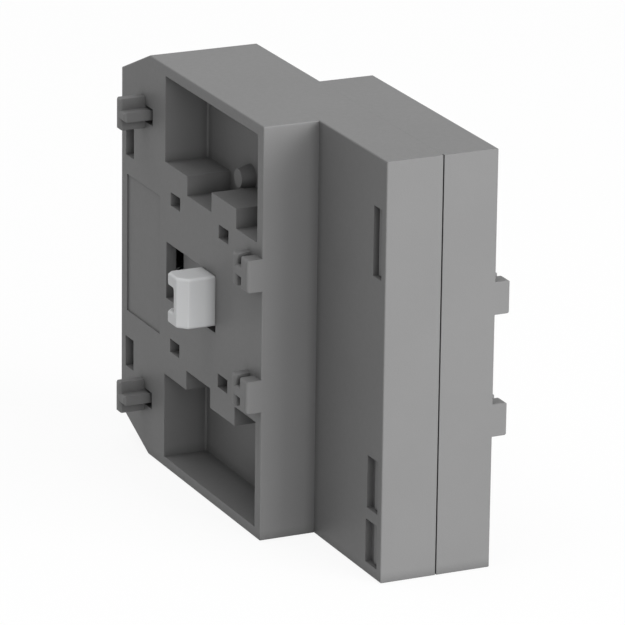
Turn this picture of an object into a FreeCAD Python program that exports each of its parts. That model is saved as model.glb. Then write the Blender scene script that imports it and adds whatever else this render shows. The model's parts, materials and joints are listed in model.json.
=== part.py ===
"""Mechanical interlock that clips between two contactors of different size.

Millimetres, +Z up. The origin is at the middle of the underside. The front, where the
contactors' fronts are, faces -Y. The left contactor stands at -X and the right one at +X.
Each contactor moves a white nose. A rocker inside joins the two noses, so that one can
only go in while the other comes out.
"""

import FreeCAD, Part
import Sketcher
import math
import os

# Each driving dimension is written once here, and the sheet holds it. Those that end in
# _along are measured from the front face, _up from the underside, and _in from the outer
# face of the side that a piece belongs to.
DRIVING_DIMENSIONS = (
    # The housing as a whole
    ("height", 90.0), ("depth", 106.0), ("width", 37.5), ("left_block", 25.0),
    ("recess_in", 12.5), ("step_along", 32.2), ("right_depth", 58.8),
    ("chamfer_long", 15.0), ("chamfer_drop", 6.4), ("chamfer_skin", 2.61),
    ("outer_edge", 0.3), ("side_wall", 2.3), ("skin", 2.4), ("rebate", 1.2), ("cover_thick", 2.0),
    ("seat_gap", 0.1), ("seam_wide", 0.3), ("seam_deep", 0.8),
    # The two stepped pockets in the left side
    ("pocket_front", 34.8), ("pocket_rear", 82.3), ("pocket_top", 87.7), ("pocket_deep", 10.0),
    ("pocket_floor", 2.0), ("pocket_corner", 0.5), ("step_low", 64.5), ("step_high", 68.8),
    ("step_first", 45.4), ("step_second", 58.0), ("step_third", 70.6),
    ("stub_along", 60.2), ("stub_up", 70.5), ("stub_radius", 2.0), ("stub_root", 2.8), ("stub_long", 3.0),
    # Windows, moulding holes and the bare plate field
    ("window_long", 26.0), ("window_up", 38.6), ("window_tall", 12.6),
    ("left_window_along", 55.5), ("right_window_along", 23.3),
    ("hole_first", 49.2), ("hole_second", 74.3), ("hole_long", 5.0), ("hole_tall", 3.0), ("hole_up", 59.9),
    ("rear_hole_along", 99.2), ("rear_hole_long", 4.4), ("rear_hole_tall", 6.9),
    ("rear_hole_high", 64.6), ("rear_hole_low", 16.5),
    ("field_along", 84.9), ("field_long", 18.0), ("field_up", 29.4), ("field_tall", 31.0), ("field_deep", 0.3),
    # Hooks on both sides
    ("hook_tall", 7.0), ("hook_high", 54.7), ("hook_low", 28.4), ("hook_out", 3.4), ("hook_thick", 3.5),
    ("hook_slot", 2.2), ("hook_back", 1.9), ("web_tall", 2.4),
    ("claw_high", 73.3), ("claw_low", 9.4), ("claw_out", 5.85), ("claw_thick", 2.1), ("hook_root", 0.5),
    ("rib_long", 2.6), ("rib_tall", 2.2), ("rib_free", 1.6), ("rib_above", 0.6), ("rib_below", 0.9),
    ("hook_edge", 0.7), ("claw_edge", 0.7), ("left_claw_along", 93.3), ("right_claw_along", 52.4),
    # Latches of the right housing, in slots beside the recess
    ("latch_thick", 1.6), ("latch_gap", 0.3), ("latch_bite", 0.7), ("latch_short", 0.8),
    ("ledge_thick", 0.9), ("latch_root", 5.0), ("slot_lead", 0.6),
    ("top_latch_up", 64.5), ("top_latch_tall", 14.9), ("top_latch_long", 3.3),
    ("low_latch_up", 14.3), ("low_latch_tall", 11.4), ("low_latch_long", 4.4),
    ("foot_latch_up", 2.4), ("foot_latch_tall", 9.4), ("foot_latch_long", 4.8),
    # Chamber and shelves that guide the slides
    ("chamber_up", 27.0), ("chamber_tall", 36.0),
    ("shelf_thick", 3.0), ("shelf_low", 32.7), ("shelf_high", 54.3), ("shelf_in", 12.0),
    ("right_shelf_in", 10.5), ("shelf_end", 97.0),
    # Rocker on its upright pivot, with its drive pins
    ("pivot_across", 18.75), ("pivot_along", 45.5), ("pivot_radius", 2.0), ("pivot_up", 33.2),
    ("pivot_tall", 23.6), ("seat_play", 0.02),
    ("plate_long", 14.0), ("plate_in", 22.5), ("boss_radius", 4.6), ("boss_tall", 3.5),
    ("finger_in", 16.7), ("finger_long", 3.8),
    ("arm", 10.5), ("arm_radius", 2.4), ("arm_up", 43.0), ("arm_thick", 4.0),
    ("hub_radius", 5.0), ("hub_up", 40.0), ("hub_tall", 10.0), ("hub_fillet", 1.5), ("bush_radius", 3.0),
    ("run_gap", 0.05), ("washer_thick", 0.5), ("washer_gap", 0.3),
    ("pin_radius", 1.0), ("pin_tall", 9.3), ("sleeve_radius", 2.4), ("sleeve_tall", 4.2),
    ("clip_radius", 1.9), ("clip_thick", 0.6),
    # Slides, guide rods and the return spring
    ("travel", 8.0), ("slide_in", 2.6), ("slide_thick", 2.8), ("slide_up", 36.0), ("slide_tall", 18.0),
    ("guide_in", 5.7), ("guide_thick", 1.5), ("guide_long", 7.0), ("guide_along", 76.4), ("guide_up", 42.8),
    ("left_slide_front", 36.4), ("left_slide_rear", 78.2),
    ("right_slide_front", 18.0), ("right_slide_rear", 54.6),
    ("lug_in", 12.0), ("lug_up", 47.3), ("lug_tall", 4.4), ("lug_thick", 2.5), ("fork_gap", 0.15),
    ("rod_in", 8.6), ("rod_up", 39.2), ("rod_radius", 1.5), ("ear_in", 11.2), ("ear_up", 36.3),
    ("ear_tall", 6.0), ("ear_thick", 3.5),
    ("left_ear_one", 52.5), ("left_ear_two", 70.5), ("right_ear_one", 20.0), ("right_ear_two", 41.0),
    ("left_rod_along", 46.0), ("left_rod_long", 49.5), ("right_rod_along", 5.0), ("right_rod_long", 50.5),
    ("post_in", 6.4), ("post_wide", 4.6), ("post_thick", 2.5), ("post_stop", 1.0), ("post_up", 35.6),
    ("post_tall", 5.6), ("post_mouth", 2.6),
    ("spring_mean", 2.3), ("spring_wire", 0.35), ("spring_clear", 0.05),
    # White noses
    ("nose_out", 8.0), ("nose_long", 7.4), ("nose_up", 39.9), ("nose_tall", 11.1),
    ("nose_bevel", 2.0), ("nose_rear_bevel", 1.1), ("nose_edge", 0.6),
    ("notch_deep", 3.8), ("notch_tall", 5.4), ("notch_floor", 1.5),
    ("left_nose_along", 56.0), ("right_nose_along", 32.0),
    ("shank_long", 4.4), ("shank_tall", 7.4), ("barb_bite", 0.6), ("barb_thick", 1.2),
)
SPRING_TURNS = 9
OVERSHOOT = 1.0
NEAR = 1e-3
LEFT_SIDE = "left"
RIGHT_SIDE = "right"

document = FreeCAD.newDocument("interlock")
sheet = document.addObject("Spreadsheet::Sheet", "Dimensions")


class Size:
    """A length: its number, and the expression that binds a feature to the sheet."""

    def __init__(self, number, text):
        self.number = number
        self.text = text

    def __add__(self, other):
        other = as_size(other)
        return Size(self.number + other.number, "(%s + %s)" % (self.text, other.text))

    def __sub__(self, other):
        other = as_size(other)
        return Size(self.number - other.number, "(%s - %s)" % (self.text, other.text))

    def __mul__(self, factor):
        factor = as_size(factor)
        return Size(self.number * factor.number, "(%s * %s)" % (self.text, factor.text))

    def __truediv__(self, divisor):
        divisor = as_size(divisor)
        return Size(self.number / divisor.number, "(%s / %s)" % (self.text, divisor.text))

    def __neg__(self):
        return Size(-self.number, "(0 - %s)" % self.text)


def as_size(value):
    """A plain number as a Size, and a Size as it is."""
    return value if isinstance(value, Size) else Size(float(value), repr(float(value)))


def fill_sheet():
    """Write the driving dimensions into the sheet, and return them as Sizes by name."""
    sizes = {}
    for row, (alias, number) in enumerate(DRIVING_DIMENSIONS, start=1):
        sheet.set("A%d" % row, alias)
        sheet.set("B%d" % row, str(number))
        sheet.setAlias("B%d" % row, alias)
        sizes[alias] = Size(number, "Dimensions.%s" % alias)
    document.recompute()
    return sizes


# Planes of the housing, from the sheet

dim = fill_sheet()
LEFT = -dim["width"] / 2
RIGHT = LEFT + dim["width"]
FRONT = -dim["depth"] / 2
REAR = FRONT + dim["depth"]
BASE = as_size(0)
TOP = BASE + dim["height"]
PARTING = LEFT + dim["left_block"]
RECESS = LEFT + dim["recess_in"]
STEP = FRONT + dim["step_along"]
RIGHT_REAR = FRONT + dim["right_depth"]
COVER_SEAT = PARTING - dim["cover_thick"]
PIVOT_X = LEFT + dim["pivot_across"]
PIVOT_Y = FRONT + dim["pivot_along"]


def mirrored(up, tall):
    """The height of a feature's copy below the middle of the housing."""
    return TOP - up - tall


def across(side, start, end):
    """Low and high X of what lies between two depths, measured in from a side's face."""
    if side == LEFT_SIDE:
        return LEFT + start, LEFT + end
    return RIGHT - end, RIGHT - start


# Features

def new_body(label):
    """An empty PartDesign body with the name of the piece."""
    body = document.addObject("PartDesign::Body", label)
    body.Label = label
    return body


def bind(item, **sizes):
    """Bind a feature's properties to the sheet; two underscores in a name stand for a dot."""
    for name, size in sizes.items():
        item.setExpression(name.replace("__", "."), as_size(size).text)


def attach(body, item, role, point, turn=FreeCAD.Rotation()):
    """Attach a feature to one of its own body's origin planes, offset to a point."""
    plane = next(part for part in body.Origin.OriginFeatures if part.Role == role)
    item.AttachmentSupport = [(plane, "")]
    item.MapMode = "FlatFace"
    offset = [as_size(value) for value in point]
    item.AttachmentOffset = FreeCAD.Placement(FreeCAD.Vector(*[value.number for value in offset]), turn)
    bind(item, AttachmentOffset__Base__x=offset[0], AttachmentOffset__Base__y=offset[1],
         AttachmentOffset__Base__z=offset[2])


def block(body, name, x_span, y_span, z_span, cut=False):
    """A box feature over three spans, added or cut away."""
    item = body.newObject("PartDesign::SubtractiveBox" if cut else "PartDesign::AdditiveBox", name)
    attach(body, item, "XY_Plane", (x_span[0], y_span[0], z_span[0]))
    for side, (low, high) in zip(("Length", "Width", "Height"), (x_span, y_span, z_span)):
        size = as_size(high) - low
        setattr(item, side, size.number)
        bind(item, **{side: size})
    return item


def bar(body, name, radius, length, start, along="Z", cut=False):
    """A round bar that runs from its start along X, Y or Z, added or cut away."""
    turns = {"Z": FreeCAD.Rotation(),
             "X": FreeCAD.Rotation(FreeCAD.Vector(0, 1, 0), 90),
             "Y": FreeCAD.Rotation(FreeCAD.Vector(1, 0, 0), -90)}
    kind = "PartDesign::SubtractiveCylinder" if cut else "PartDesign::AdditiveCylinder"
    item = body.newObject(kind, name)
    attach(body, item, "XY_Plane", start, turns[along])
    item.Radius = as_size(radius).number
    item.Height = as_size(length).number
    bind(item, Radius=radius, Height=length)
    return item


def outline(body, name, role, loops, start):
    """A sketch of closed outlines on an origin plane, every corner bound to the sheet."""
    sketch = body.newObject("Sketcher::SketchObject", name)
    attach(body, sketch, role, (0, 0, start))
    for loop in loops:
        corners = [(as_size(first), as_size(second)) for first, second in loop]
        points = [FreeCAD.Vector(first.number, second.number, 0) for first, second in corners]
        lines = [sketch.addGeometry(Part.LineSegment(here, there), False)
                 for here, there in zip(points, points[1:] + points[:1])]
        for line, following in zip(lines, lines[1:] + lines[:1]):
            sketch.addConstraint(Sketcher.Constraint("Coincident", line, 2, following, 1))
        for line, corner in zip(lines, corners):
            for kind, size in zip(("DistanceX", "DistanceY"), corner):
                place = sketch.addConstraint(Sketcher.Constraint(kind, -1, 1, line, 1, size.number))
                sketch.setExpression("Constraints[%d]" % place, size.text)
    return sketch


def pad(body, sketch, length):
    """Raise a sketch along its plane's normal."""
    item = body.newObject("PartDesign::Pad", sketch.Name + "_pad")
    item.Profile = sketch
    item.Length = as_size(length).number
    bind(item, Length=length)
    return item


def pocket(body, sketch, length):
    """Cut a sketch away along its plane's normal."""
    item = body.newObject("PartDesign::Pocket", sketch.Name + "_pocket")
    item.Profile = sketch
    item.Length = as_size(length).number
    item.Reversed = True
    bind(item, Length=length)
    return item


def soften(body, name, radius, chosen, kind="PartDesign::Fillet"):
    """Round or bevel the edges of the body's tip that a test picks."""
    document.recompute()
    base = body.Tip
    names = ["Edge%d" % number for number, edge in enumerate(base.Shape.Edges, start=1) if chosen(edge)]
    item = body.newObject(kind, name)
    item.Base = (base, names)
    if kind == "PartDesign::Fillet":
        item.Radius = as_size(radius).number
        bind(item, Radius=radius)
    else:
        item.Size = as_size(radius).number
        bind(item, Size=radius)
    return item


def side_profile(front, inset, drop):
    """The (Y, Z) corners of the rear block's outline, moved in by a wall's thickness."""
    slope = dim["chamfer_drop"] / dim["chamfer_long"]
    corner_y = REAR - dim["chamfer_long"] + (inset - drop) / slope
    corner_z = dim["chamfer_drop"] - inset * slope + drop
    return [(front, BASE + inset), (corner_y, BASE + inset), (REAR - inset, BASE + corner_z),
            (REAR - inset, TOP - corner_z), (corner_y, TOP - inset), (front, TOP - inset)]


def chamfer_corners():
    """Two triangles that bevel the rear block's top and bottom edges."""
    lower = [(REAR - dim["chamfer_long"], BASE), (REAR, BASE), (REAR, BASE + dim["chamfer_drop"])]
    upper = [(REAR - dim["chamfer_long"], TOP), (REAR, TOP - dim["chamfer_drop"]), (REAR, TOP)]
    return [lower, upper]


# Plain solids, for the details of the housings and the turned parts

AXES = {"X": FreeCAD.Rotation(FreeCAD.Vector(0, 1, 0), 90),
        "Y": FreeCAD.Rotation(FreeCAD.Vector(1, 0, 0), -90),
        "Z": FreeCAD.Rotation()}


def solid(kind, name, start, turn=FreeCAD.Rotation()):
    """A plain solid of one kind, placed by the sheet."""
    item = document.addObject(kind, name)
    item.Label = name
    point = [as_size(value) for value in start]
    item.Placement = FreeCAD.Placement(FreeCAD.Vector(*[value.number for value in point]), turn)
    bind(item, Placement__Base__x=point[0], Placement__Base__y=point[1], Placement__Base__z=point[2])
    return item


def brick(name, x_span, y_span, z_span):
    """A box over three spans."""
    item = solid("Part::Box", name, (x_span[0], y_span[0], z_span[0]))
    for side, (low, high) in zip(("Length", "Width", "Height"), (x_span, y_span, z_span)):
        bind(item, **{side: as_size(high) - low})
    return item


def rod(name, radius, length, start, along="Z"):
    """A plain round rod or pin."""
    item = solid("Part::Cylinder", name, start, AXES[along])
    bind(item, Radius=radius, Height=length)
    return item


def taper(name, wide, narrow, length, start, along="Z"):
    """A round end that narrows along its length."""
    item = solid("Part::Cone", name, start, AXES[along])
    bind(item, Radius1=wide, Radius2=narrow, Height=length)
    return item


def sideways(name, profile, x_span):
    """A body drawn from the side, in Y and Z, and raised along X."""
    body = new_body(name)
    drawing = outline(body, name + "_profile", "YZ_Plane", [profile], x_span[0])
    pad(body, drawing, as_size(x_span[1]) - x_span[0])
    return body


def touches_x(edge, x):
    """Whether an edge reaches the plane at one X with either end of its span."""
    level = as_size(x).number
    return abs(edge.BoundBox.XMin - level) < NEAR or abs(edge.BoundBox.XMax - level) < NEAR


def in_plane_x(edge, x):
    """Whether an edge lies in the plane at one X."""
    return touches_x(edge, x) and edge.BoundBox.XLength < NEAR


def in_plane_y(edge, y):
    """Whether an edge lies in the plane at one Y."""
    return abs(edge.BoundBox.YMin - as_size(y).number) < NEAR and edge.BoundBox.YLength < NEAR


def join(name, parts):
    """Several solids as one."""
    item = document.addObject("Part::MultiFuse", name)
    item.Label = name
    item.Shapes = parts
    item.Refine = True
    return item


def carve(name, base, tools):
    """A solid with others cut out of it."""
    item = document.addObject("Part::Cut", name)
    item.Label = name
    item.Base = base
    item.Tool = tools[0] if len(tools) == 1 else join(name + "_cuts", tools)
    item.Refine = True
    return item


# Parts of the housings

def hook_profile(front, up):
    """A front hook from the side: two plates joined by a web at half height."""
    slot = front + dim["hook_thick"]
    back = slot + dim["hook_slot"]
    rear = back + dim["hook_back"]
    top = up + dim["hook_tall"]
    web_low = up + (dim["hook_tall"] - dim["web_tall"]) / 2
    web_high = web_low + dim["web_tall"]
    return [(front, up), (slot, up), (slot, web_low), (back, web_low), (back, up), (rear, up),
            (rear, top), (back, top), (back, web_high), (slot, web_high), (slot, top), (front, top)]


def claw_profile(along, up):
    """A rear claw from the side: a plate with a rib in front of it at half height."""
    rear = along + dim["claw_thick"]
    top = up + dim["hook_tall"]
    low, high = rib_span(up)
    front = along - dim["rib_long"]
    return [(along, up), (rear, up), (rear, top), (along, top), (along, high), (front, high),
            (front, low), (along, low)]


def rib_span(up):
    """Low and high Z of the rib on a claw of which the underside is given."""
    low = up + (dim["hook_tall"] - dim["rib_tall"]) / 2
    return low, low + dim["rib_tall"]


def rib_hole(along, up):
    """The hole from the side that frees a rib's root: in front of it, above it and below it."""
    low, high = rib_span(up)
    front = along - dim["rib_long"]
    hole_front = front - dim["rib_free"]
    hole_low = low - dim["rib_below"]
    hole_high = high + dim["rib_above"]
    return [(hole_front, hole_low), (along, hole_low), (along, low), (front, low), (front, high), (along, high),
            (along, hole_high), (hole_front, hole_high)]


def hooks(side, face_along, claw_along):
    """Two slotted hooks at the front of a side, two claws at its rear, and the holes at the claws' ribs."""
    along = FRONT + claw_along
    solids = []
    holes = []
    x_hook = across(side, -dim["hook_out"], dim["hook_root"])
    x_claw = across(side, -dim["claw_out"], dim["hook_root"])
    x_hole = across(side, -OVERSHOOT, dim["side_wall"] + OVERSHOOT)
    outer = 0 if side == LEFT_SIDE else 1
    for place, hook_up, claw_up in (("upper", dim["hook_high"], dim["claw_high"]),
                                    ("lower", dim["hook_low"], dim["claw_low"])):
        name = "%s_%s" % (side, place)
        hook = sideways(name + "_hook", hook_profile(FRONT + face_along, hook_up), x_hook)
        soften(hook, name + "_hook_edge", dim["hook_edge"], lambda edge: in_plane_x(edge, x_hook[outer]))
        claw = sideways(name + "_claw", claw_profile(along, claw_up), x_claw)
        soften(claw, name + "_claw_edge", dim["claw_edge"], lambda edge: in_plane_x(edge, x_claw[outer]))
        solids.extend((hook, claw))
        holes.append(sideways(name + "_rib_hole", rib_hole(along, claw_up), x_hole))
    return solids, holes


def window(side, along):
    """The window that a nose stands out of."""
    front = FRONT + along
    return brick(side + "_window", across(side, -OVERSHOOT, dim["side_wall"]),
                 (front, front + dim["window_long"]), (dim["window_up"], dim["window_up"] + dim["window_tall"]))


def shelves(side, y_span, x_in):
    """Two level ribs that a slide runs between."""
    return [brick("%s_%s_shelf" % (side, place), across(side, dim["side_wall"], x_in), y_span,
                  (up, up + dim["shelf_thick"]))
            for place, up in (("lower", dim["shelf_low"]), ("upper", dim["shelf_high"]))]


def rod_posts(side, rod_along, rod_long):
    """Two posts on the lower shelf, and the mouths that a guide rod snaps into."""
    posts = []
    mouths = []
    seat = across(side, dim["rod_in"], dim["rod_in"])[0]
    x_post = across(side, dim["post_in"], dim["post_in"] + dim["post_wide"])
    x_mouth = across(side, dim["rod_in"], dim["post_in"] + dim["post_wide"] + OVERSHOOT)
    z_post = (dim["post_up"], dim["post_up"] + dim["post_tall"])
    z_mouth = (dim["rod_up"] - dim["post_mouth"] / 2, dim["rod_up"] + dim["post_mouth"] / 2)
    front = FRONT + rod_along
    rear = front + rod_long
    for place, y_groove, y_post in (
            ("front", (front, front + dim["post_thick"]), (front - dim["post_stop"], front + dim["post_thick"])),
            ("rear", (rear - dim["post_thick"], rear), (rear - dim["post_thick"], rear + dim["post_stop"]))):
        name = "%s_%s_post" % (side, place)
        posts.append(brick(name, x_post, y_post, z_post))
        mouths.append(brick(name + "_mouth", x_mouth, y_groove, z_mouth))
        mouths.append(rod(name + "_seat", dim["rod_radius"], dim["post_thick"],
                          (seat, y_groove[0], dim["rod_up"]), "Y"))
    return posts, mouths


def latch_places():
    """Name, height, tallness and slot length of each latch beside the recess."""
    return [(place + "_latch", dim[place + "_latch_up"], dim[place + "_latch_tall"], dim[place + "_latch_long"])
            for place in ("top", "low", "foot")]


# Housing

def left_shell():
    """The hollow block of the left housing, stepped back to a recess beside its front half."""
    body = new_body("left_shell")
    plan = [(LEFT, STEP), (RECESS, STEP), (RECESS, FRONT), (PARTING, FRONT), (PARTING, REAR), (LEFT, REAR)]
    pad(body, outline(body, "plan", "XY_Plane", [plan], BASE), dim["height"])
    pocket(body, outline(body, "rear_chamfers", "YZ_Plane", chamfer_corners(), LEFT), dim["left_block"])

    def outer_edge(edge):
        """Every edge but those at the parting plane and the inner corner of the step."""
        return not touches_x(edge, PARTING) and not (in_plane_x(edge, RECESS) and in_plane_y(edge, STEP))
    soften(body, "outer_rounding", dim["outer_edge"], outer_edge)

    # The hollow is open towards the right housing
    inner_front = STEP + dim["skin"]
    behind_pockets = dim["pocket_deep"] + dim["pocket_floor"]
    mouth = PARTING + OVERSHOOT
    hollow = outline(body, "hollow", "YZ_Plane", [side_profile(inner_front, dim["skin"], dim["chamfer_skin"])],
                     LEFT + behind_pockets)
    pocket(body, hollow, dim["left_block"] - behind_pockets)
    block(body, "front_hollow", (RECESS + dim["side_wall"], mouth),
          (FRONT + dim["skin"], inner_front + OVERSHOOT), (BASE + dim["skin"], TOP - dim["skin"]), cut=True)
    rear_room = FRONT + dim["pocket_rear"] + dim["pocket_floor"]
    rear_hollow = outline(body, "rear_hollow", "YZ_Plane",
                          [side_profile(rear_room, dim["skin"], dim["chamfer_skin"])], LEFT + dim["side_wall"])
    pocket(body, rear_hollow, behind_pockets)
    block(body, "chamber", (LEFT + dim["side_wall"], mouth), (inner_front, rear_room + OVERSHOOT),
          (dim["chamber_up"], dim["chamber_up"] + dim["chamber_tall"]), cut=True)
    rebate_drop = dim["rebate"] * dim["chamfer_skin"] / dim["skin"]
    rebate = outline(body, "rebate", "YZ_Plane",
                     [side_profile(FRONT + dim["rebate"], dim["rebate"], rebate_drop)], COVER_SEAT)
    pocket(body, rebate, dim["cover_thick"])

    # The stepped pockets, one above the middle and one below it
    upper = [(dim["pocket_rear"], dim["pocket_top"]), (dim["pocket_rear"], dim["step_high"]),
             (dim["step_third"], dim["step_high"]), (dim["step_third"], dim["step_low"]),
             (dim["step_second"], dim["step_low"]), (dim["step_second"], dim["step_high"]),
             (dim["step_first"], dim["step_high"]), (dim["step_first"], dim["step_low"]),
             (dim["pocket_front"], dim["step_low"]), (dim["pocket_front"], dim["pocket_top"])]
    loops = [[(FRONT + along, up) for along, up in upper], [(FRONT + along, TOP - up) for along, up in upper]]
    pocket(body, outline(body, "pockets", "YZ_Plane", loops, LEFT), dim["pocket_deep"])
    floor = LEFT + dim["pocket_deep"]
    rear_wall = FRONT + dim["pocket_rear"]
    soften(body, "pocket_corners", dim["pocket_corner"],
           lambda edge: in_plane_x(edge, floor) and in_plane_y(edge, rear_wall))
    return body


def left_openings():
    """Window, moulding holes, bare plate field and latch slots of the left housing."""
    cuts = [window(LEFT_SIDE, dim["left_window_along"])]
    x_wall = across(LEFT_SIDE, -OVERSHOOT, dim["side_wall"])
    for column, along in (("front", dim["hole_first"]), ("rear", dim["hole_second"])):
        for row, up in (("upper", dim["hole_up"]), ("lower", mirrored(dim["hole_up"], dim["hole_tall"]))):
            cuts.append(brick("%s_%s_hole" % (row, column), x_wall,
                              (FRONT + along, FRONT + along + dim["hole_long"]), (up, up + dim["hole_tall"])))
    rear_hole = (FRONT + dim["rear_hole_along"], FRONT + dim["rear_hole_along"] + dim["rear_hole_long"])
    for row, up in (("upper", dim["rear_hole_high"]), ("lower", dim["rear_hole_low"])):
        cuts.append(brick(row + "_edge_hole", x_wall, rear_hole, (up, up + dim["rear_hole_tall"])))
    field = FRONT + dim["field_along"]
    z_field = (dim["field_up"], dim["field_up"] + dim["field_tall"])
    cuts.append(brick("plate_field", across(LEFT_SIDE, -OVERSHOOT, dim["field_deep"]),
                      (field, field + dim["field_long"]), z_field))
    inner = FRONT + dim["skin"]
    ledge = RECESS + dim["side_wall"] - dim["ledge_thick"]
    for name, up, tall, long in latch_places():
        cuts.append(brick(name + "_slot", (RECESS - OVERSHOOT, ledge), (inner - dim["slot_lead"], inner + long),
                          (up, up + tall)))
        cuts.append(brick(name + "_throat", (ledge - OVERSHOOT, RECESS + dim["side_wall"]),
                          (inner, inner + dim["latch_thick"] + dim["latch_gap"]), (up, up + tall)))
    return cuts


def left_housing():
    """The left housing, with its hooks and the seats of the pivot pin and of the left rod."""
    parts = [left_shell()]
    stub_end = LEFT + dim["pocket_deep"] - dim["stub_long"]
    parts.append(taper("stub", dim["stub_radius"], dim["stub_root"], dim["stub_long"],
                       (stub_end, FRONT + dim["stub_along"], dim["stub_up"]), "X"))
    guide = FRONT + dim["guide_along"]
    parts.append(brick("slide_guide", across(LEFT_SIDE, dim["guide_in"], dim["guide_in"] + dim["guide_thick"]),
                       (guide, guide + dim["guide_long"]),
                       (dim["guide_up"], dim["shelf_high"] + dim["hook_root"])))
    parts.extend(shelves(LEFT_SIDE, (STEP + dim["skin"] - dim["hook_root"], FRONT + dim["shelf_end"]),
                         dim["shelf_in"]))
    half_plate = dim["plate_long"] / 2
    for place, up in (("lower", dim["shelf_low"]), ("upper", dim["shelf_high"])):
        parts.append(brick(place + "_plate", (LEFT + dim["slide_in"], LEFT + dim["plate_in"]),
                           (PIVOT_Y - half_plate, PIVOT_Y + half_plate), (up, up + dim["shelf_thick"])))
    for place, up in (("lower", dim["shelf_low"] + dim["shelf_thick"]),
                      ("upper", dim["shelf_high"] - dim["boss_tall"])):
        parts.append(rod(place + "_boss", dim["boss_radius"], dim["boss_tall"], (PIVOT_X, PIVOT_Y, up)))
    posts, mouths = rod_posts(LEFT_SIDE, dim["left_rod_along"], dim["left_rod_long"])
    parts.extend(posts)
    solids, rib_holes = hooks(LEFT_SIDE, dim["step_along"], dim["left_claw_along"])
    parts.extend(solids)

    z_pivot = (dim["pivot_up"], dim["pivot_up"] + dim["pivot_tall"])
    seat_radius = dim["pivot_radius"] + dim["seat_play"]
    seat = rod("pivot_seat", seat_radius, dim["pivot_tall"], (PIVOT_X, PIVOT_Y, dim["pivot_up"]))
    mouth = brick("pivot_mouth", (PIVOT_X, LEFT + dim["plate_in"] + OVERSHOOT),
                  (PIVOT_Y - seat_radius, PIVOT_Y + seat_radius), z_pivot)
    cuts = left_openings() + mouths + rib_holes + [seat, mouth]
    return carve("left_housing", join("left_solid", parts), cuts)


def right_housing():
    """The right housing: the front block's other half, with a lip and three latches."""
    inner_front = FRONT + dim["skin"]
    inner_rear = RIGHT_REAR - dim["skin"]
    inner_low = BASE + dim["skin"]
    inner_high = TOP - dim["skin"]
    block_body = new_body("right_shell")
    block(block_body, "outside", (PARTING, RIGHT), (FRONT, RIGHT_REAR), (BASE, TOP))
    soften(block_body, "outer_rounding", dim["outer_edge"], lambda edge: not touches_x(edge, PARTING))
    block(block_body, "inside", (PARTING - OVERSHOOT, RIGHT - dim["side_wall"]), (inner_front, inner_rear),
          (inner_low, inner_high), cut=True)
    parts = [block_body]

    # The lip stands in the left housing's rebate
    lip = (COVER_SEAT + dim["seat_gap"], PARTING + dim["hook_root"])
    outer = dim["rebate"] + dim["seat_gap"]
    parts.append(brick("front_lip", lip, (FRONT + outer, inner_front), (BASE + outer, TOP - outer)))
    parts.append(brick("lower_lip", lip, (inner_front, inner_rear), (BASE + outer, inner_low)))
    parts.append(brick("upper_lip", lip, (inner_front, inner_rear), (inner_high, TOP - outer)))

    # Latches along the inside of the front wall
    tip = RECESS + dim["latch_short"]
    ledge = RECESS + dim["side_wall"] - dim["ledge_thick"]
    arm = (inner_front + dim["seat_gap"], inner_front + dim["latch_thick"])
    for name, up, tall, long in latch_places():
        z_span = (up + dim["latch_gap"], up + tall - dim["latch_gap"])
        parts.append(brick(name, (tip, PARTING + dim["latch_root"]), arm, z_span))
        parts.append(brick(name + "_root", (PARTING + dim["seam_wide"], PARTING + dim["latch_root"]),
                           (inner_front - dim["hook_root"], arm[0]), z_span))
        parts.append(brick(name + "_bite", (tip, ledge), (arm[1], arm[1] + dim["latch_bite"]), z_span))

    # Fingers on the shelves close the pivot pin's seats
    parts.extend(shelves(RIGHT_SIDE, (inner_front - dim["hook_root"], inner_rear + dim["hook_root"]),
                         dim["right_shelf_in"]))
    half_finger = dim["finger_long"] / 2
    for place, z_span in (("lower", (dim["pivot_up"], dim["shelf_low"] + dim["shelf_thick"])),
                          ("upper", (dim["shelf_high"], dim["pivot_up"] + dim["pivot_tall"]))):
        parts.append(brick(place + "_finger", across(RIGHT_SIDE, dim["slide_in"], dim["finger_in"]),
                           (PIVOT_Y - half_finger, PIVOT_Y + half_finger), z_span))
    posts, mouths = rod_posts(RIGHT_SIDE, dim["right_rod_along"], dim["right_rod_long"])
    parts.extend(posts)
    solids, rib_holes = hooks(RIGHT_SIDE, 0, dim["right_claw_along"])
    parts.extend(solids)
    seam = brick("seam", (PARTING - OVERSHOOT, PARTING + dim["seam_wide"]),
                 (FRONT - OVERSHOOT, FRONT + dim["seam_deep"]), (BASE - OVERSHOOT, TOP + OVERSHOOT))
    opening = window(RIGHT_SIDE, dim["right_window_along"])
    return carve("right_housing", join("right_solid", parts), mouths + rib_holes + [opening, seam])


def rear_cover():
    """The flat cover that closes the rear block's right side."""
    body = new_body("rear_cover")
    inset = dim["rebate"] + dim["seat_gap"]
    front = RIGHT_REAR - dim["skin"] + dim["seat_gap"]
    profile = side_profile(front, inset, inset * dim["chamfer_skin"] / dim["skin"])
    pad(body, outline(body, "cover_plan", "YZ_Plane", [profile], COVER_SEAT), dim["cover_thick"])
    return body


# Slides and noses

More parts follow.
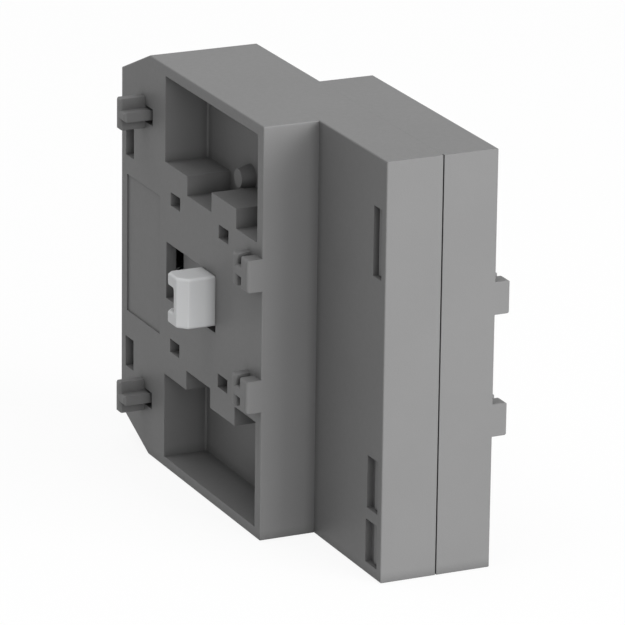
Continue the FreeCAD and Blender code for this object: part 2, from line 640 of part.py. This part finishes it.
def slide(label, side, front_along, rear_along, fork_side, ears, nose_along):
    """A slide: a plate with a fork for the drive pin, two ears on the rod and a seat for the nose."""
    body = new_body(label)
    inner = dim["slide_in"] + dim["slide_thick"]
    front = FRONT + front_along
    rear = FRONT + rear_along
    block(body, "plate", across(side, dim["slide_in"], inner), (front, rear),
          (dim["slide_up"], dim["slide_up"] + dim["slide_tall"]))
    fork = PIVOT_Y + dim["travel"] / 2 * fork_side
    half_slot = dim["sleeve_radius"] + dim["fork_gap"]
    z_lug = (dim["lug_up"], dim["lug_up"] + dim["lug_tall"])
    for name, y_span in (("front_lug", (fork - half_slot - dim["lug_thick"], fork - half_slot)),
                         ("rear_lug", (fork + half_slot, fork + half_slot + dim["lug_thick"]))):
        block(body, name, across(side, inner, dim["lug_in"]), y_span, z_lug)
    rod_x = across(side, dim["rod_in"], dim["rod_in"])[0]
    for name, ear_along in zip(("front_ear", "rear_ear"), ears):
        ear = FRONT + ear_along
        block(body, name, across(side, inner, dim["ear_in"]), (ear, ear + dim["ear_thick"]),
              (dim["ear_up"], dim["ear_up"] + dim["ear_tall"]))
        bar(body, name + "_bore", dim["rod_radius"] + dim["run_gap"], dim["ear_thick"],
            (rod_x, ear, dim["rod_up"]), "Y", cut=True)
    y_shank, z_shank = shank_spans(nose_along)
    block(body, "nose_seat", across(side, dim["slide_in"], inner), y_shank, z_shank, cut=True)
    return body


def shank_spans(nose_along):
    """Y and Z spans of the shank that joins a nose to its slide."""
    middle = FRONT + nose_along + dim["nose_long"] / 2
    level = dim["nose_up"] + dim["nose_tall"] / 2
    half_long = dim["shank_long"] / 2
    half_tall = dim["shank_tall"] / 2
    return (middle - half_long, middle + half_long), (level - half_tall, level + half_tall)


def nose(label, side, nose_along):
    """A white nose with bevelled end and a notch behind, snapped into its slide."""
    body = new_body(label)
    face = LEFT if side == LEFT_SIDE else RIGHT
    outward = -1 if side == LEFT_SIDE else 1
    front = FRONT + nose_along
    rear = front + dim["nose_long"]
    end = face + dim["nose_out"] * outward
    base = face - dim["slide_in"] * outward
    plan = [(base, front), (end - dim["nose_bevel"] * outward, front), (end, front + dim["nose_bevel"]),
            (end, rear - dim["nose_rear_bevel"]), (end - dim["nose_rear_bevel"] * outward, rear), (base, rear)]
    pad(body, outline(body, "plan", "XY_Plane", [plan], dim["nose_up"]), dim["nose_tall"])
    level = dim["nose_up"] + dim["nose_tall"] / 2
    half_notch = dim["notch_tall"] / 2
    block(body, "notch", across(side, -dim["nose_out"] - OVERSHOOT, -dim["notch_floor"]),
          (rear - dim["notch_deep"], rear + OVERSHOOT), (level - half_notch, level + half_notch), cut=True)
    outside = face.number * outward + 1e-3

    def outer_edge(edge):
        box = edge.BoundBox
        ends = (box.XMin * outward, box.XMax * outward)
        return min(ends) > outside - dim["slide_in"].number - 1e-2 and max(ends) > outside + 1
    soften(body, "edge_rounding", dim["nose_edge"], outer_edge)
    y_shank, z_shank = shank_spans(nose_along)
    inner = dim["slide_in"] + dim["slide_thick"]
    block(body, "shank", across(side, dim["slide_in"], inner + dim["barb_thick"]), y_shank, z_shank)
    block(body, "barbs", across(side, inner, inner + dim["barb_thick"]), y_shank,
          (z_shank[0] - dim["barb_bite"], z_shank[1] + dim["barb_bite"]))
    return body


# Rocker, with its pins

def rocker():
    """The two-armed rocker, drawn straight and turned to the resting pose."""
    body = new_body("rocker")
    half_arm = dim["arm_radius"]
    block(body, "arms", (-dim["arm"], dim["arm"]), (-half_arm, half_arm),
          (dim["arm_up"], dim["arm_up"] + dim["arm_thick"]))
    for name, reach in (("left_end", -dim["arm"]), ("right_end", dim["arm"])):
        bar(body, name, half_arm, dim["arm_thick"], (reach, 0, dim["arm_up"]))
    bar(body, "hub", dim["hub_radius"], dim["hub_tall"], (0, 0, dim["hub_up"]))
    corner = math.sqrt(dim["hub_radius"].number ** 2 - half_arm.number ** 2)

    def inner_corner(edge):
        box = edge.BoundBox
        return box.XLength < 1e-6 and box.YLength < 1e-6 and abs(abs(box.XMin) - corner) < 1e-3 \
            and abs(abs(box.YMin) - half_arm.number) < 1e-3
    soften(body, "hub_fillet", dim["hub_fillet"], inner_corner)
    bar(body, "bore", dim["bush_radius"], dim["hub_tall"], (0, 0, dim["hub_up"]), cut=True)
    for name, reach in (("left_hole", -dim["arm"]), ("right_hole", dim["arm"])):
        bar(body, name, dim["pin_radius"], dim["arm_thick"], (reach, 0, dim["arm_up"]), cut=True)
    turn = math.degrees(math.asin(dim["travel"].number / 2 / dim["arm"].number))
    body.Placement = FreeCAD.Placement(FreeCAD.Vector(PIVOT_X.number, PIVOT_Y.number, 0),
                                       FreeCAD.Rotation(FreeCAD.Vector(0, 0, 1), turn))
    bind(body, Placement__Base__x=PIVOT_X, Placement__Base__y=PIVOT_Y)
    body.setExpression("Placement.Rotation.Angle", "asin(%s)" % (dim["travel"] / 2 / dim["arm"]).text)
    return body


def ring(label, outer, inner, length, start):
    """A plain ring: one round rod with another cut out of it."""
    outside = rod(label + "_outside", outer, length, start)
    return carve(label, outside, [rod(label + "_inside", inner, length, start)])


def pivot_parts():
    """The pivot pin, the bush in the hub and a washer at each end of the hub."""
    loose = dim["pivot_radius"] + dim["run_gap"]
    hub_top = dim["hub_up"] + dim["hub_tall"]
    return [
        rod("pivot_pin", dim["pivot_radius"], dim["pivot_tall"], (PIVOT_X, PIVOT_Y, dim["pivot_up"])),
        ring("pivot_bush", dim["bush_radius"], loose, dim["hub_tall"], (PIVOT_X, PIVOT_Y, dim["hub_up"])),
        ring("lower_washer", dim["boss_radius"], loose, dim["washer_thick"],
             (PIVOT_X, PIVOT_Y, dim["hub_up"] - dim["washer_gap"] - dim["washer_thick"])),
        ring("upper_washer", dim["boss_radius"], loose, dim["washer_thick"],
             (PIVOT_X, PIVOT_Y, hub_top + dim["washer_gap"]))]


def drive_parts(label, direction):
    """The drive pin at the end of one arm, with its sleeve and the clip that keeps it on."""
    turn = math.asin(dim["travel"].number / 2 / dim["arm"].number)
    tip_x = PIVOT_X + dim["arm"] * (direction * math.cos(turn))
    tip_y = PIVOT_Y + dim["travel"] / 2 * direction
    arm_top = dim["arm_up"] + dim["arm_thick"]
    return [
        rod(label + "_drive_pin", dim["pin_radius"], dim["pin_tall"], (tip_x, tip_y, dim["arm_up"])),
        ring(label + "_drive_sleeve", dim["sleeve_radius"], dim["pin_radius"], dim["sleeve_tall"],
             (tip_x, tip_y, arm_top)),
        ring(label + "_sleeve_clip", dim["clip_radius"], dim["pin_radius"], dim["clip_thick"],
             (tip_x, tip_y, arm_top + dim["sleeve_tall"]))]


def return_spring():
    """The coil spring on the left rod, between the slide's rear ear and the rear post."""
    start = (FRONT + dim["left_ear_two"] + dim["ear_thick"] + dim["spring_clear"]).number
    rod_end = FRONT + dim["left_rod_along"] + dim["left_rod_long"]
    end = (rod_end - dim["post_thick"] - dim["spring_clear"]).number
    wire = dim["spring_wire"].number
    mean = dim["spring_mean"].number
    length = end - start - 2 * wire
    helix = Part.makeHelix(length / SPRING_TURNS, length, mean)
    section = Part.Wire(Part.makeCircle(wire, FreeCAD.Vector(mean, 0, 0), FreeCAD.Vector(0, 1, 0)))
    item = document.addObject("Part::Feature", "return_spring")
    item.Label = "return_spring"
    item.Shape = Part.Wire(helix).makePipeShell([section], True, True)
    item.Placement = FreeCAD.Placement(
        FreeCAD.Vector((LEFT + dim["rod_in"]).number, start + wire, dim["rod_up"].number),
        FreeCAD.Rotation(FreeCAD.Vector(1, 0, 0), -90))
    return item


def build():
    """Every piece of the interlock, at rest: the left nose forward and the right one back."""
    pieces = [left_housing(), right_housing(), rear_cover()]
    for side, ends, fork_side in ((LEFT_SIDE, ("left_slide_front", "left_slide_rear"), -1),
                                  (RIGHT_SIDE, ("right_slide_front", "right_slide_rear"), 1)):
        along = dim[side + "_nose_along"]
        pieces.append(slide(side + "_slide", side, dim[ends[0]], dim[ends[1]], fork_side,
                            (dim[side + "_ear_one"], dim[side + "_ear_two"]), along))
        pieces.append(nose(side + "_nose", side, along))
        rod_x = across(side, dim["rod_in"], dim["rod_in"])[0]
        pieces.append(rod(side + "_guide_rod", dim["rod_radius"], dim[side + "_rod_long"],
                          (rod_x, FRONT + dim[side + "_rod_along"], dim["rod_up"]), "Y"))
    pieces.append(rocker())
    pieces.extend(pivot_parts())
    pieces.extend(drive_parts("left", -1))
    pieces.extend(drive_parts("right", 1))
    pieces.append(return_spring())
    return pieces


def check_document():
    """Stop if anything in the document failed without a message."""
    for item in document.Objects:
        failed = [state for state in item.State if state in ("Invalid", "Error")]
        if failed:
            raise RuntimeError("%s is %s" % (item.Label, ", ".join(failed)))


def write_parts(pieces):
    """Write each piece to its own file, once all of them are whole."""
    os.makedirs("parts", exist_ok=True)
    for item in pieces:
        if item.Shape.isNull() or not item.Shape.isValid():
            raise RuntimeError("%s has no valid shape" % item.Label)
        if len(item.Shape.Solids) != 1:
            raise RuntimeError("%s has %d solids" % (item.Label, len(item.Shape.Solids)))
    for item in pieces:
        item.Shape.exportStep(os.path.join("parts", item.Label + ".step"))
        print("%-20s %9.1f mm3" % (item.Label, item.Shape.Volume))


interlock = build()
document.recompute()
check_document()
write_parts(interlock)
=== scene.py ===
"""Looks of the mechanical interlock: moulded grey plastic, white noses, and a plain pale studio."""

import json
import math

import bmesh
import bpy
from mathutils import Matrix, Vector

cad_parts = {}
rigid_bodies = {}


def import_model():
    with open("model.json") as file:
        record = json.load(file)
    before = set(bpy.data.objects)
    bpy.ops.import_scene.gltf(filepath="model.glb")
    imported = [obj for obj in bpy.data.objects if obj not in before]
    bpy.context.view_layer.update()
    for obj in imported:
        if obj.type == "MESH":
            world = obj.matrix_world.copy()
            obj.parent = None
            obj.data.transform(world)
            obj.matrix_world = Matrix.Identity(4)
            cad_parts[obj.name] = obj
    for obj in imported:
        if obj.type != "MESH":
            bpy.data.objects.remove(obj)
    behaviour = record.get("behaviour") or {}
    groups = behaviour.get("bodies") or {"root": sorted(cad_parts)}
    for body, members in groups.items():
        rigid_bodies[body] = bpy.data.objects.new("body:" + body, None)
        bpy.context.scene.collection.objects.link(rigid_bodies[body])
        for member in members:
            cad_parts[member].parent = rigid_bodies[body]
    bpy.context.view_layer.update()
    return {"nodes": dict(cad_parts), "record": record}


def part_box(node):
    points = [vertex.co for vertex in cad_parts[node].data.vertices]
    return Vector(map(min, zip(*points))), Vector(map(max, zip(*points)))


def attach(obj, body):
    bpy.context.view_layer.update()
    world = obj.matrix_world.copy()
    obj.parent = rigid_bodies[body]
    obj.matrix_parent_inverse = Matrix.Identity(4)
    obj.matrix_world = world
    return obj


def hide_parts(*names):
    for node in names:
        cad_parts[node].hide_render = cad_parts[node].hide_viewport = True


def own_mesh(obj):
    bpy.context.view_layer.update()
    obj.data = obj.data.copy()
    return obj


MM = 0.001

# Camera, as the photograph's perspective gives it, in metres, with its sensor and lens in millimetres
CAMERA_PLACE = (-0.471387, -1.010752, 0.407654)
CAMERA_RIGHT = (0.90704, -0.42086, 0.01229)
CAMERA_UP = (0.12068, 0.28784, 0.95004)
CAMERA_AHEAD = (0.40337, 0.86025, -0.31188)
SENSOR = 36.0
LENS = 320.4
CLIP_NEAR = 0.05
CLIP_FAR = 20.0

# Soft lights: name, place and side in metres, and power in watts
LIGHTS = (
    ("key", (1.0, -1.75, 0.5), 1.3, 42.8),
    ("front", (-0.2, -2.0, 0.5), 1.4, 21.0),
    ("overhead", (-0.3, 0.1, 2.0), 1.6, 15.2),
)
LIT_POINT = (0, 0, 0.045)
AMBIENT = 0.355

# Floor: its side and drop in metres, its tone as it lights the object, and its glow to the eye
FLOOR_SIDE = 12.0
FLOOR_DROP = 0.0002
FLOOR_TONE = 0.38
FLOOR_ROUGHNESS = 0.8
FLOOR_GLOW = 0.9

# Plastics: linear tone, roughness, strength of the grain, and warmth
PLASTICS = {
    "housing_plastic": (0.175, 0.55, 0.35, 0.0),
    "slide_plastic": (0.16, 0.45, 0.1, 0.0),
    "nose_plastic": (0.66, 0.4, 0.05, -0.01),
    "sleeve_plastic": (0.66, 0.4, 0.0, 0.0),
}
PLASTIC_SPECULAR = 0.4

# Metals: linear colour and roughness
METALS = {
    "ground_steel": ((0.56, 0.56, 0.56), 0.25),
    "spring_steel": ((0.448, 0.448, 0.448), 0.35),
    "washer_steel": ((0.56, 0.56, 0.56), 0.35),
    "bush_bronze": ((0.5, 0.33, 0.16), 0.45),
}

# Unevenness: noise in features per metre, and the range that it moves tone or roughness over
CLOUD_SCALE = 60.0
CLOUD_RANGE = (0.95, 1.05)
POLISH_SCALE = 250.0
POLISH_RANGE = (0.9, 1.08)
SOFT_DETAIL = 3.0
MOTTLE_SCALE = 900.0
MOTTLE_SWING = 0.06
GRAIN_SCALE = 4200.0
GRAIN_DETAIL = 2.0
GRAIN_DEPTH = 0.06

# Softening of edges, and how far and how much painted shade darkens crevices, lengths in millimetres
EDGE_RADIUS = 0.15
PAINTED_SHADE_REACH = 2.5
PAINTED_SHADE_TONE = 0.35
SAMPLES = 8

# The return spring, lengths in millimetres: its turns and wire, the pitch of its closed end turns,
# how many end turns are closed, and how fine its mesh is
SPRING_TURNS = 9
SPRING_WIRE = 0.35
CLOSED_PITCH = 0.76
CLOSED_TURNS = 0.75
SPRING_STEPS = 28
WIRE_SIDES = 10


def set_inputs(node, **values):
    """Set a shader node's inputs by name, with underscores for spaces."""
    for name, value in values.items():
        node.inputs[name.replace("_", " ")].default_value = value


def grey(tone, warmth=0.0):
    """A nearly neutral colour, slightly warm or cool."""
    return (tone * (1 + warmth), tone, tone * (1 - warmth))


class Shader:
    """A material's node tree, with short ways to add and join nodes."""

    def __init__(self, name):
        self.material = bpy.data.materials.new(name)
        self.material.use_nodes = True
        self.tree = self.material.node_tree
        self.surface = self.tree.nodes["Principled BSDF"]
        self.place = self.add("ShaderNodeTexCoord").outputs["Object"]

    def add(self, kind, **settings):
        node = self.tree.nodes.new(kind)
        for name, value in settings.items():
            setattr(node, name, value)
        return node

    def link(self, source, target):
        self.tree.links.new(source, target)

    def noise(self, scale, detail):
        """Noise over the object's own metres, scale in features per metre."""
        node = self.add("ShaderNodeTexNoise")
        set_inputs(node, Scale=scale, Detail=detail)
        self.link(self.place, node.inputs["Vector"])
        return node.outputs["Fac"]

    def spread(self, value, low, high):
        """A 0 to 1 value spread over a range."""
        node = self.add("ShaderNodeMapRange")
        set_inputs(node, To_Min=low, To_Max=high)
        self.link(value, node.inputs["Value"])
        return node.outputs["Result"]

    def tint(self, base, factor):
        """The base colour times a factor, into the surface."""
        node = self.add("ShaderNodeVectorMath", operation="SCALE")
        node.inputs[0].default_value = base
        self.link(factor, node.inputs["Scale"])
        self.link(node.outputs["Vector"], self.surface.inputs["Base Color"])

    def painted_crevice_shade(self, reach, tone):
        """Painted shade: a factor that falls towards a tone where other faces stand close by."""
        node = self.add("ShaderNodeAmbientOcclusion", samples=SAMPLES)
        set_inputs(node, Distance=reach * MM)
        return self.spread(node.outputs["AO"], tone, 1.0)

    def times(self, first, second):
        """Two values multiplied."""
        node = self.add("ShaderNodeMath", operation="MULTIPLY")
        self.link(first, node.inputs[0])
        self.link(second, node.inputs[1])
        return node.outputs["Value"]

    def round_edges(self, radius):
        """Edges shaded as if rounded, the way a mould leaves them."""
        node = self.add("ShaderNodeBevel", samples=SAMPLES)
        set_inputs(node, Radius=radius * MM)
        self.link(node.outputs["Normal"], self.surface.inputs["Normal"])

    def bump(self, height, distance, strength):
        """Fine relief, distance in millimetres, over whatever relief is already there."""
        node = self.add("ShaderNodeBump")
        set_inputs(node, Distance=distance * MM, Strength=strength)
        self.link(height, node.inputs["Height"])
        normal = self.surface.inputs["Normal"]
        if normal.is_linked:
            self.link(normal.links[0].from_socket, node.inputs["Normal"])
        self.link(node.outputs["Normal"], normal)


def moulded(name, tone, roughness, grain, warmth):
    """Moulded plastic with a spark-eroded grain, a faint cloudiness, and painted shade darkening its
    crevices.
    """
    shader = Shader(name)
    cloud = shader.spread(shader.noise(CLOUD_SCALE, SOFT_DETAIL), *CLOUD_RANGE)
    # painted shade: ambient occlusion darkens the base colour in crevices
    painted_crevice_shade = shader.painted_crevice_shade(PAINTED_SHADE_REACH, PAINTED_SHADE_TONE)
    shader.tint(grey(tone, warmth), shader.times(cloud, painted_crevice_shade))
    set_inputs(shader.surface, Roughness=roughness, Specular_IOR_Level=PLASTIC_SPECULAR)
    mottle = shader.noise(MOTTLE_SCALE, GRAIN_DETAIL)
    shader.link(shader.spread(mottle, roughness - MOTTLE_SWING, roughness + MOTTLE_SWING),
                shader.surface.inputs["Roughness"])
    shader.round_edges(EDGE_RADIUS)
    if grain:
        shader.bump(shader.noise(GRAIN_SCALE, GRAIN_DETAIL), GRAIN_DEPTH, grain)
    return shader.material


def metal(name, colour, roughness):
    """Plain metal with a fine uneven polish."""
    shader = Shader(name)
    shader.tint(colour, shader.spread(shader.noise(POLISH_SCALE, SOFT_DETAIL), *POLISH_RANGE))
    set_inputs(shader.surface, Metallic=1.0, Roughness=roughness)
    return shader.material


def make_materials():
    """Every material slot of the record, by name."""
    materials = {name: moulded(name, *finish) for name, finish in PLASTICS.items()}
    materials.update({name: metal(name, *finish) for name, finish in METALS.items()})
    return materials


def dress(frame, materials):
    """Give each CAD piece its finish."""
    slots = {row["node"]: row["material_slot"] for row in frame["record"]["subparts"]}
    for name, piece in frame["nodes"].items():
        piece.data.materials.clear()
        piece.data.materials.append(materials[slots[name]])


def coil_rings(middle, radius, length):
    """Rings of points round a wire that coils along Y, with closed turns at both ends."""
    wire = SPRING_WIRE * MM
    steps = SPRING_TURNS * SPRING_STEPS
    opening = [min(1.0, max(0.0, min(step, steps - step) / SPRING_STEPS - CLOSED_TURNS))
               for step in range(steps)]
    closed = CLOSED_PITCH * MM / SPRING_STEPS
    spare = (length - 2 * wire - closed * steps) / sum(opening)
    along = wire - length / 2
    rings = []
    for step in range(steps + 1):
        turn = math.tau * step / SPRING_STEPS
        out = Vector((math.cos(turn), 0, math.sin(turn)))
        centre = middle + out * (radius - wire) + Vector((0, along, 0))
        rings.append([centre + out * (wire * math.cos(math.tau * side / WIRE_SIDES))
                      + Vector((0, wire * math.sin(math.tau * side / WIRE_SIDES), 0))
                      for side in range(WIRE_SIDES)])
        if step < steps:
            along += closed + spare * opening[step]
    return rings


def make_spring(material):
    """The return spring as a wound wire, riding with the housing in place of the CAD spring."""
    low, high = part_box("return_spring")
    length = high.y - low.y
    rings = coil_rings((low + high) / 2, (high.x - low.x) / 2, length)
    mesh = bpy.data.meshes.new("return_coil")
    shape = bmesh.new()
    rows = [[shape.verts.new(point) for point in ring] for ring in rings]
    for first, second in zip(rows, rows[1:]):
        for side in range(WIRE_SIDES):
            after = (side + 1) % WIRE_SIDES
            shape.faces.new((first[side], first[after], second[after], second[side])).smooth = True
    shape.faces.new(rows[0])
    shape.faces.new(rows[-1])
    bmesh.ops.recalc_face_normals(shape, faces=shape.faces)
    shape.to_mesh(mesh)
    shape.free()
    mesh.materials.append(material)
    spring = bpy.data.objects.new("return_coil", mesh)
    bpy.context.scene.collection.objects.link(spring)
    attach(spring, "housing")
    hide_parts("return_spring")
    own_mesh(spring)


def place_camera():
    """The camera, where the photograph was taken from."""
    data = bpy.data.cameras.new("camera")
    data.sensor_width = SENSOR
    data.lens = LENS
    data.clip_start = CLIP_NEAR
    data.clip_end = CLIP_FAR
    camera = bpy.data.objects.new("camera", data)
    turn = Matrix((CAMERA_RIGHT, CAMERA_UP, [-value for value in CAMERA_AHEAD])).transposed()
    camera.matrix_world = Matrix.Translation(CAMERA_PLACE) @ turn.to_4x4()
    bpy.context.scene.collection.objects.link(camera)
    bpy.context.scene.camera = camera


def soft_light(name, place, side, power):
    """A large square soft light that faces the object."""
    data = bpy.data.lights.new(name, "AREA")
    data.shape = "SQUARE"
    data.size = side
    data.energy = power
    light = bpy.data.objects.new(name, data)
    light.location = place
    light.rotation_euler = (Vector(LIT_POINT) - Vector(place)).to_track_quat("-Z", "Y").to_euler()
    bpy.context.scene.collection.objects.link(light)


def seen(tree):
    """1 for rays that show the surround: to the camera, in reflections and through clear pieces."""
    path = tree.nodes.new("ShaderNodeLightPath")
    value = path.outputs["Is Camera Ray"]
    for ray in ("Is Glossy Ray", "Is Transmission Ray"):
        either = tree.nodes.new("ShaderNodeMath")
        either.operation = "MAXIMUM"
        tree.links.new(value, either.inputs[0])
        tree.links.new(path.outputs[ray], either.inputs[1])
        value = either.outputs["Value"]
    return value


def blend(tree, share, first, second):
    """Two shaders mixed by a share of the second, a number or a socket."""
    mix = tree.nodes.new("ShaderNodeMixShader")
    if isinstance(share, float):
        mix.inputs["Fac"].default_value = share
    else:
        tree.links.new(share, mix.inputs["Fac"])
    tree.links.new(first, mix.inputs[1])
    tree.links.new(second, mix.inputs[2])
    return mix.outputs["Shader"]


def make_surround():
    """A world that is plain white to the eye, and lights the object at its own level."""
    world = bpy.data.worlds.new("surround")
    world.use_nodes = True
    bpy.context.scene.world = world
    tree = world.node_tree
    ambient = tree.nodes["Background"]
    set_inputs(ambient, Color=(1, 1, 1, 1), Strength=AMBIENT)
    white = tree.nodes.new("ShaderNodeBackground")
    set_inputs(white, Color=(1, 1, 1, 1), Strength=1.0)
    shade = blend(tree, seen(tree), ambient.outputs["Background"], white.outputs["Background"])
    tree.links.new(shade, tree.nodes["World Output"].inputs["Surface"])


def make_floor():
    """A floor that lights the object as a pale one does, and looks nearly white with a faint shadow."""
    bpy.ops.mesh.primitive_plane_add(size=FLOOR_SIDE, location=(0, 0, -FLOOR_DROP))
    floor = bpy.context.object
    floor.name = "floor"
    material = bpy.data.materials.new("floor_pale")
    material.use_nodes = True
    tree = material.node_tree
    pale = tree.nodes["Principled BSDF"]
    set_inputs(pale, Base_Color=(*grey(FLOOR_TONE), 1.0), Roughness=FLOOR_ROUGHNESS)
    white = tree.nodes.new("ShaderNodeBsdfDiffuse")
    set_inputs(white, Color=(1, 1, 1, 1))
    glow = tree.nodes.new("ShaderNodeEmission")
    shown = blend(tree, FLOOR_GLOW, white.outputs["BSDF"], glow.outputs["Emission"])
    shade = blend(tree, seen(tree), pale.outputs["BSDF"], shown)
    tree.links.new(shade, tree.nodes["Material Output"].inputs["Surface"])
    floor.data.materials.append(material)


def make_studio():
    """A pale surround and floor, with soft lights from the front right, the front and above."""
    make_surround()
    make_floor()
    for name, place, side, power in LIGHTS:
        soft_light(name, place, side, power)


def main():
    """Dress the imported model, wind its spring, and set the camera and studio round it."""
    for item in list(bpy.data.objects):
        bpy.data.objects.remove(item)
    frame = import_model()
    materials = make_materials()
    dress(frame, materials)
    make_spring(materials["spring_steel"])
    place_camera()
    make_studio()
    bpy.context.scene.view_settings.view_transform = "Standard"


main()
